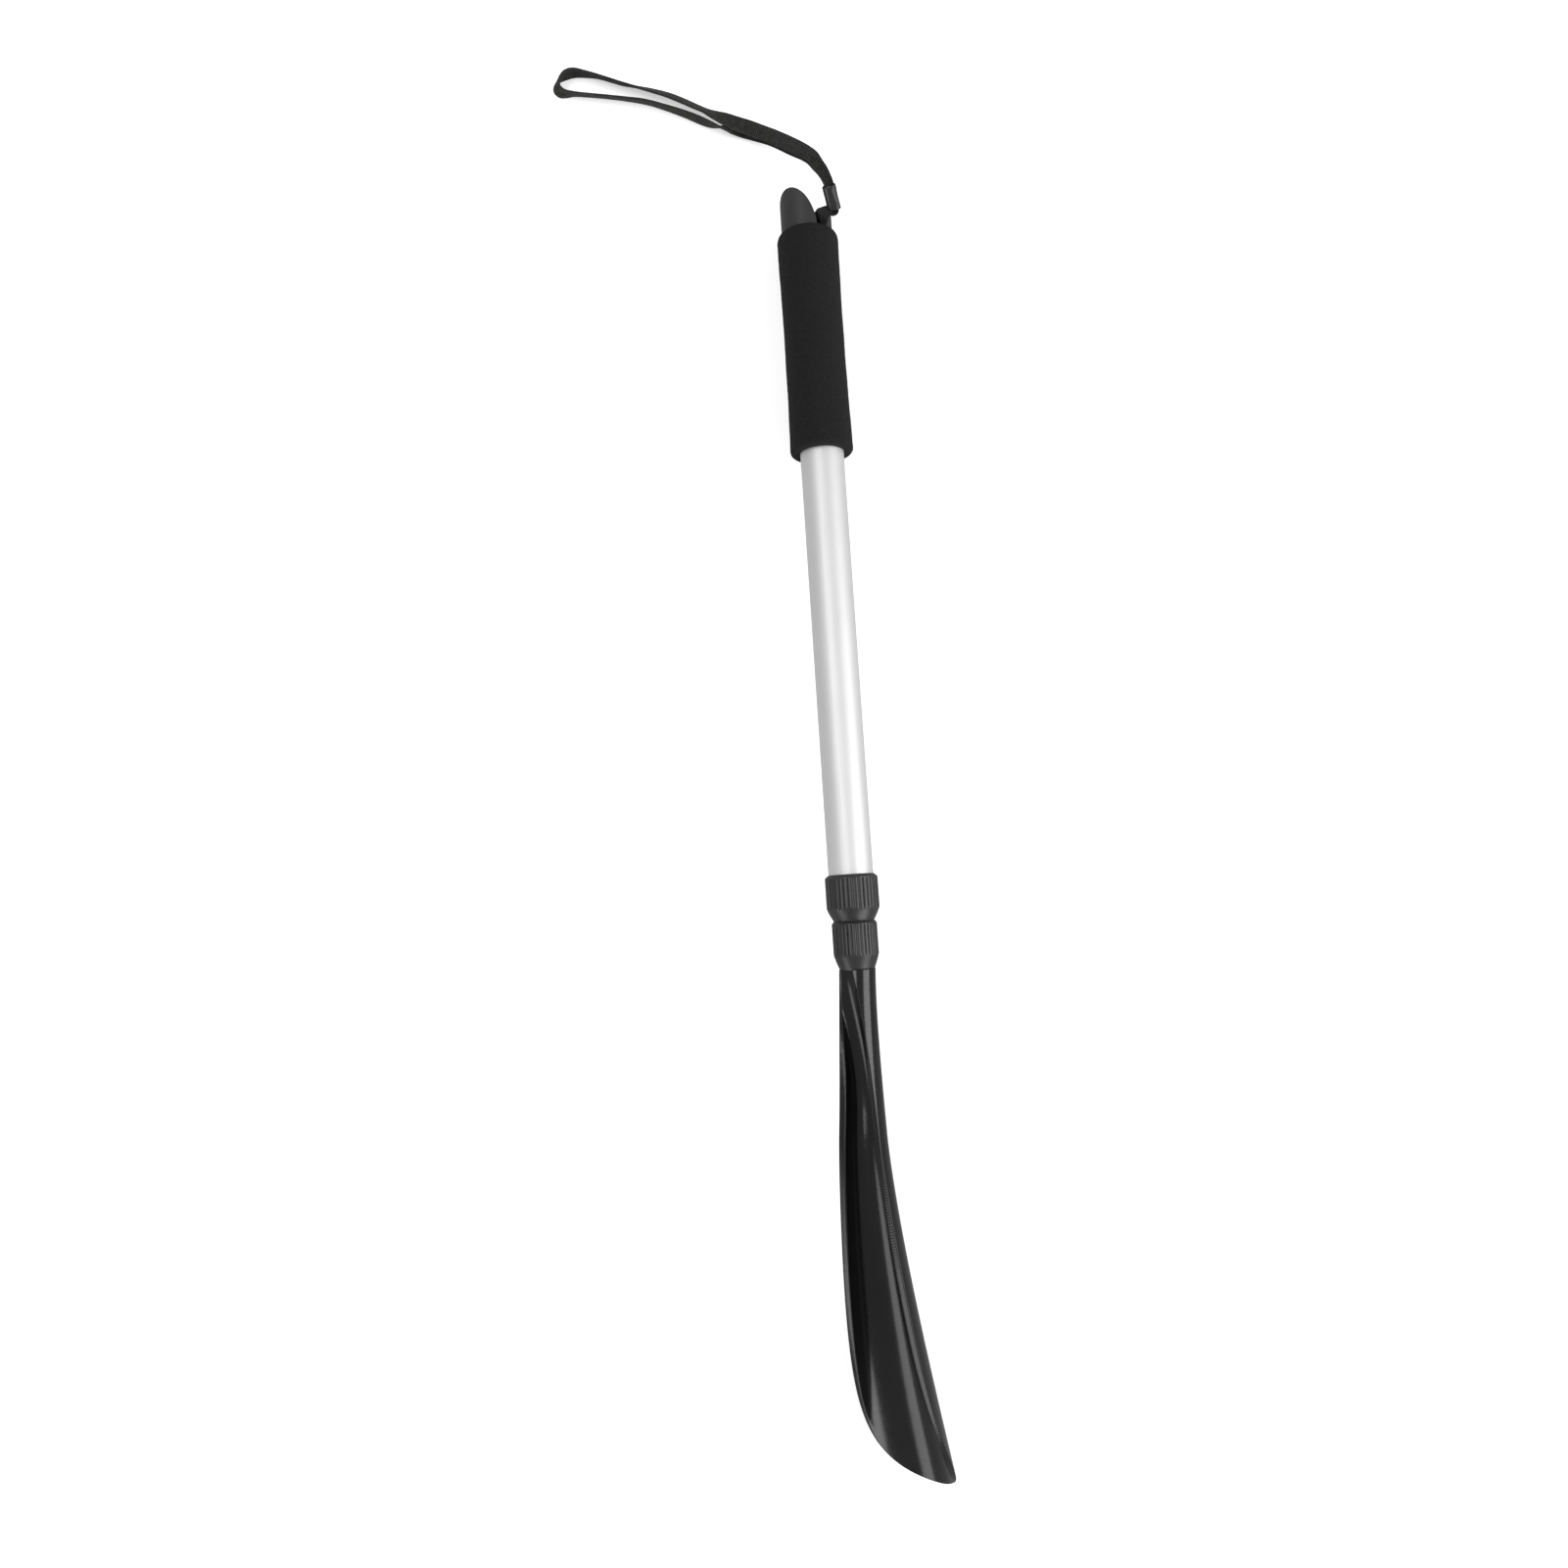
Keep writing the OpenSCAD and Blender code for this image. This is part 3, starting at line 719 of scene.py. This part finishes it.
def make_foam(material):
    """Foam sleeve with soft ends, a slight waist, shallow dents and pores."""
    outline = [(CAP_R + 0.05, FOAM_START + 0.5)]
    for k in range(17):
        turn = math.pi / 2 * k / 16
        s = FOAM_START + FOAM_ROUND * (1 - math.cos(turn))
        outline.append((mix(CAP_R + 0.25, foam_radius(s), math.sin(turn) ** 0.9), s))
    for k in range(1, FOAM_RINGS):
        s = mix(FOAM_START + FOAM_ROUND, FOAM_END - FOAM_FOOT_ROUND, k / FOAM_RINGS)
        outline.append((foam_radius(s), s))
    for k in range(13):
        turn = math.pi / 2 * k / 12
        s = FOAM_END - FOAM_FOOT_ROUND * (1 - math.sin(turn))
        outline.append((foam_radius(s) - FOAM_FOOT_ROUND * (1 - math.cos(turn)), s))
    outline += [(11.6, FOAM_END - 0.1), (SOCKET_R, FOAM_END - 0.9), (SOCKET_R, CAP_END + 1),
                (CAP_R + 0.05, CAP_END + 1)]

    def porous(r, s, angle):
        if r < CAP_R + 0.06:
            return r
        place = Vector((r * math.sin(angle), r * math.cos(angle), s))
        dents = DENTS * noise.noise(place / DENT_SIZE)
        ripple = RIPPLES * noise.noise(place / RIPPLE_SIZE)
        pores = -PORES * max(noise.noise(place / PORE_SIZE), 0) ** 2
        return r + dents + ripple + pores

    points, faces = skin(turned(outline, FOAM_STEPS, porous), join_ends=True)
    foam = piece("foam_sleeve", points, faces, material, "handle")
    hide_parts("foam_grip")


# ---------------------------------------------------------------- collars

RIBS = 32
RIB_DEPTH = 0.5
RIB_POWER = 0.4  # how narrow the grooves between the ribs are
RIB_STEPS = 16
CLOSING = 0.34  # how far each collar reaches over the gap below it
STRAIGHT = 16.0
SEAT = 12.6
BEVEL = 1.3
BEVEL_STEPS = 6
STRAIGHT_STEPS = 46
CHIN_STEPS = 28
CHIN_POWER = 1.25
SHARP_ANGLE = math.radians(28)
DIMPLE_ANGLE = math.radians(-22.4)
DIMPLE_STATION = 379.4
DIMPLE_DEPTH = 0.5
DIMPLE_HALF_WIDTH = 0.75
DIMPLE_HALF_LENGTH = 1.35


def collar_outline(start, r, chin, chin_r, seat_r, slide_r):
    """Closed section of a collar as (radius, station): bevel, straight part, chin, then back up the bore."""
    straight_end = start + STRAIGHT
    seat_end = start + SEAT
    end = straight_end + chin + CLOSING
    outline = [(seat_r + 0.1, start + 0.05), (seat_r + 0.3, start)]
    outline += [(mix(seat_r + 0.4, r - 0.1, k / BEVEL_STEPS), start + 0.05 + BEVEL * k / BEVEL_STEPS)
                for k in range(BEVEL_STEPS + 1)]
    outline += [(r, mix(start + 1.45, straight_end - 0.1, k / STRAIGHT_STEPS))
                for k in range(STRAIGHT_STEPS + 1)]
    for k in range(1, CHIN_STEPS + 1):
        t = k / CHIN_STEPS
        outline.append((r - (r - chin_r) * t ** CHIN_POWER, mix(straight_end, end - 0.4, t)))
    outline += [(chin_r - 0.15, end - 0.1), (chin_r - 0.4, end), (slide_r + 0.35, end),
                (slide_r + 0.1, end - 0.25), (slide_r + 0.1, seat_end), (seat_r + 0.04, seat_end),
                (seat_r + 0.04, start + 0.3)]
    return outline


def make_collar(name, node, body, material, start, r, chin, chin_r, seat_r, slide_r, dimple):
    """Turned collar: a bevelled top edge, rounded ribs on its straight part and a cone below."""
    ribs_start = start + 1.5
    ribs_end = start + STRAIGHT + 1.3

    def ribbed(radius, s, angle):
        if s < ribs_start or radius < chin_r + 0.3:
            return radius
        hold = ease((s - ribs_start) / 0.7) * ease((ribs_end - s) / 1.5)
        groove = 1 - abs(math.sin(RIBS / 2 * angle)) ** RIB_POWER
        radius -= RIB_DEPTH * hold * groove
        if dimple:
            turn = (angle - DIMPLE_ANGLE + math.pi) % (2 * math.pi) - math.pi
            away = math.hypot(turn * r / DIMPLE_HALF_WIDTH, (s - DIMPLE_STATION) / DIMPLE_HALF_LENGTH)
            radius -= DIMPLE_DEPTH * (1 - ease(away))
        return radius

    outline = collar_outline(start, r, chin, chin_r, seat_r, slide_r)
    points, faces = skin(turned(outline, RIBS * RIB_STEPS, ribbed), join_ends=True)
    collar = piece(name, points, faces, material, body)
    collar.data.set_sharp_from_angle(angle=SHARP_ANGLE)
    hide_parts(node)


# ---------------------------------------------------------------- blade

NECK_START = 397.0
BLADE_LEN = 249.5
NECK_R = 8.9
HEEL_R = 24.0
OPEN_ANGLE = math.radians(50)
BLADE_WALL = 2.8
RIM_WALL = 3.6
RIM_START_WALL = 0.6
TIP_WALL = 1.6
THIN_FROM = 170.0
THIN_LEN = 80.0
SPREAD_LEN = 260.0
RIM_ANGLE = 88.0
NECK_ANGLE = 158.0
NECK_FADE = 44.0
BEND_FROM = 79.0
BEND_DEPTH = 38.3
BEND_LEN = 200.0
BEND_POWER = 1.5
SPINE_DEPTH = 6.7
SPINE_FADE = 20.0
TIP_FROM = 137.0
TIP_SHARPNESS = 3.86
LAST_RING = math.radians(89.2)  # the rings crowd towards the tip as a sine up to this angle
HOLLOW_LEN = 75.0  # over which the neck's flat inner face becomes a round one
SPIGOT_LEN = 40.0
SPIGOT_R = 6.95
SPIGOT_STEPS = 64
BLADE_RINGS = 760
SIDE_POINTS = 36
RIM_POINTS = 9
RIM_ROUND = 0.45
RIDGE_PITCH = 1.3
RIDGE_DEPTH = 0.07
RIDGE_SLANT = 3.0


def trough_r(u):
    """Radius of the blade's outer face at u, the distance from its neck."""
    return NECK_R + (HEEL_R - NECK_R) * ease(u / SPREAD_LEN)


def half_angle(u):
    """Angle from the spine to each rim: wide at the neck, narrower below it, and nothing at the tip."""
    past = max(u - TIP_FROM, 0) / (BLADE_LEN - TIP_FROM)
    fade = math.sqrt(max(1 - past ** TIP_SHARPNESS, 0))
    return math.radians(RIM_ANGLE + (NECK_ANGLE - RIM_ANGLE) * math.exp(-u / NECK_FADE)) * fade


def spine(u):
    """Depth of the spine below the tubes' axis."""
    bend = BEND_DEPTH * (max(u - BEND_FROM, 0) / BEND_LEN) ** BEND_POWER
    return SPINE_DEPTH + (NECK_R - SPINE_DEPTH) * math.exp(-u / SPINE_FADE) + bend


def trough_at(u, angle, r):
    """Sideways and upward place on the section at u, at an angle from the spine and a radius."""
    across = r * math.sin(angle)
    out = trough_r(u) - spine(u) - r * math.cos(angle)
    return Vector((across * math.sin(OPEN_ANGLE) - out * math.cos(OPEN_ANGLE),
                   across * math.cos(OPEN_ANGLE) + out * math.sin(OPEN_ANGLE)))


def wall_at(u, t):
    """Thickness of the wall; t runs from -1 to 1 between the rims."""
    thin = ease((u - THIN_FROM) / THIN_LEN)
    middle = mix(BLADE_WALL, TIP_WALL, thin)
    rim = mix(RIM_START_WALL, mix(RIM_WALL, TIP_WALL, thin), ease(u / 60))
    return mix(middle, rim, abs(t) ** 6)


def inner_at(u, t):
    """Place on the inner face, which is flat in the neck and follows the outer one further down."""
    edge = trough_r(u) - wall_at(u, 1)
    a = half_angle(u)
    flat = trough_at(u, -a, edge).lerp(trough_at(u, a, edge), (t + 1) / 2)
    return flat.lerp(trough_at(u, a * t, trough_r(u) - wall_at(u, t)), ease((u + 6) / HOLLOW_LEN))


def rim_points(u, side):
    """Rounded rim from the outer face to the inner one, on one side."""
    a = half_angle(u) * side
    outer = trough_at(u, a, trough_r(u))
    inner = inner_at(u, side)
    middle = (outer + inner) / 2
    beyond = (trough_at(u, a + side * 0.02, trough_r(u)) - outer).normalized()
    height = min(RIM_ROUND, (outer - inner).length * 0.16)
    places = []
    for k in range(1, RIM_POINTS + 1):
        turn = math.pi * k / (RIM_POINTS + 1)
        run = squared(math.cos(turn), 0.45)
        wave = math.sin(2 * math.pi * u / RIDGE_PITCH + RIDGE_SLANT * run)
        ridge = RIDGE_DEPTH * wave * ease((u - 40) / 50)
        rise = height * math.sin(turn) ** 0.45 + ridge * math.sin(turn)
        places.append(middle + (outer - middle) * run + beyond * rise)
    return places


def make_blade(material):
    """Curved trough that grows out of a round neck, with the spigot that goes into the inner tube."""
    half = BLADE_RINGS // 2
    rest = BLADE_RINGS - half
    stops = [TIP_FROM * k / half for k in range(half + 1)]
    stops += [mix(TIP_FROM, BLADE_LEN, math.sin(LAST_RING * k / rest)) for k in range(1, rest + 1)]
    sections = []
    for u in stops:
        a = half_angle(u)
        section = [trough_at(u, a * (2 * i / SIDE_POINTS - 1), trough_r(u)) for i in range(SIDE_POINTS + 1)]
        section += rim_points(u, 1)
        section += [inner_at(u, 1 - 2 * i / SIDE_POINTS) for i in range(SIDE_POINTS + 1)]
        section += list(reversed(rim_points(u, -1)))
        sections.append(section)
    rings = [[lay(p.x * 0.95, p.y * 0.95, NECK_START - 0.25) for p in sections[0]]]
    rings += [[lay(p.x, p.y, NECK_START + u) for p in section] for u, section in zip(stops, sections)]
    spigot_end = NECK_START - SPIGOT_LEN
    spigot = [circle(SPIGOT_R - 0.4, spigot_end, SPIGOT_STEPS),
              circle(SPIGOT_R, spigot_end + 0.4, SPIGOT_STEPS),
              circle(SPIGOT_R, NECK_START + 1.0, SPIGOT_STEPS)]
    points, faces = joined(skin(rings, start_cap=True, end_cap=True),
                           skin(spigot, start_cap=True, end_cap=True))
    blade = piece("shoehorn_blade", points, faces, material, "lower_section")
    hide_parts("blade")


def dress(node, material):
    """Give a node that is carried over from the CAD its material."""
    mesh = NODES[node].data
    mesh.materials.clear()
    mesh.materials.append(material)


# ---------------------------------------------------------------- everything in its place

ribbon_material = ribbon_yarn("ribbon_yarn", (0.0030, 0.0028, 0.0026), (0.13, 0.122, 0.112))
# painted shade: a much darker copy of the ribbon's yarn for the loop that lies in the cap's notch
anchor_shaded_material = ribbon_yarn("anchor_yarn_painted_shade", grey(0.002), (0.018, 0.017, 0.016))
collar_material = moulded_plastic("collar_plastic", (0.020, 0.020, 0.021), (0.030, 0.030, 0.031),
                                  roughness=0.34, grain_scale=2200, depth=0.00003)
cap_material = moulded_plastic("cap_plastic", (0.026, 0.026, 0.027), (0.036, 0.036, 0.037),
                               roughness=0.45, grain_scale=1500, depth=0.00006)
blade_material = moulded_plastic("blade_plastic", (0.0060, 0.0060, 0.0062), (0.0085, 0.0085, 0.0088),
                                 roughness=0.17, grain_scale=900, depth=0.00001)
sleeve_material = moulded_plastic("sleeve_plastic", grey(0.016), grey(0.022),
                                  roughness=0.26, grain_scale=900, depth=0.00001)
tube_material = aluminium("outer_aluminium", (0.81, 0.81, 0.815), roughness=0.55)
inner_tube_material = aluminium("inner_aluminium", (0.78, 0.78, 0.79), roughness=0.50)
steel_material = aluminium("zinc_steel", (0.62, 0.62, 0.64), roughness=0.30)
nylon_material = moulded_plastic("natural_nylon", (0.60, 0.59, 0.53), (0.70, 0.69, 0.63),
                                 roughness=0.45, grain_scale=1200, depth=0.00004)
wedge_material = moulded_plastic("filled_nylon", (0.07, 0.08, 0.09), (0.11, 0.12, 0.13),
                                 roughness=0.45, grain_scale=1200, depth=0.00004)

make_camera()
strap, strap_path, strap_length = make_strap(ribbon_material)
sleeve = make_sleeve(sleeve_material)
anchor = make_anchor(anchor_shaded_material)
make_cap(cap_material)
make_foam(foam_rubber())
make_collar("outer_collar_ribbed", "outer_collar", "handle", collar_material,
            start=351.4, r=12.9, chin=5.8, chin_r=10.2, seat_r=11.0, slide_r=9.5, dimple=False)
make_collar("middle_collar_ribbed", "middle_collar", "middle_section", collar_material,
            start=373.6, r=11.0, chin=7.0, chin_r=8.7, seat_r=9.5, slide_r=8.0, dimple=True)
make_blade(blade_material)
dress("outer_tube", tube_material)
dress("middle_tube", inner_tube_material)
dress("inner_tube", inner_tube_material)
dress("blade_pin", steel_material)
for end in ("upper", "lower"):
    dress(end + "_stud", steel_material)
    dress(end + "_stop_nut", steel_material)
    dress(end + "_plug", wedge_material)
    dress(end + "_cone", wedge_material)
    dress(end + "_expander", nylon_material)
make_lights()
make_floor(floor_paint())

bpy.context.scene.view_settings.view_transform = "Standard"
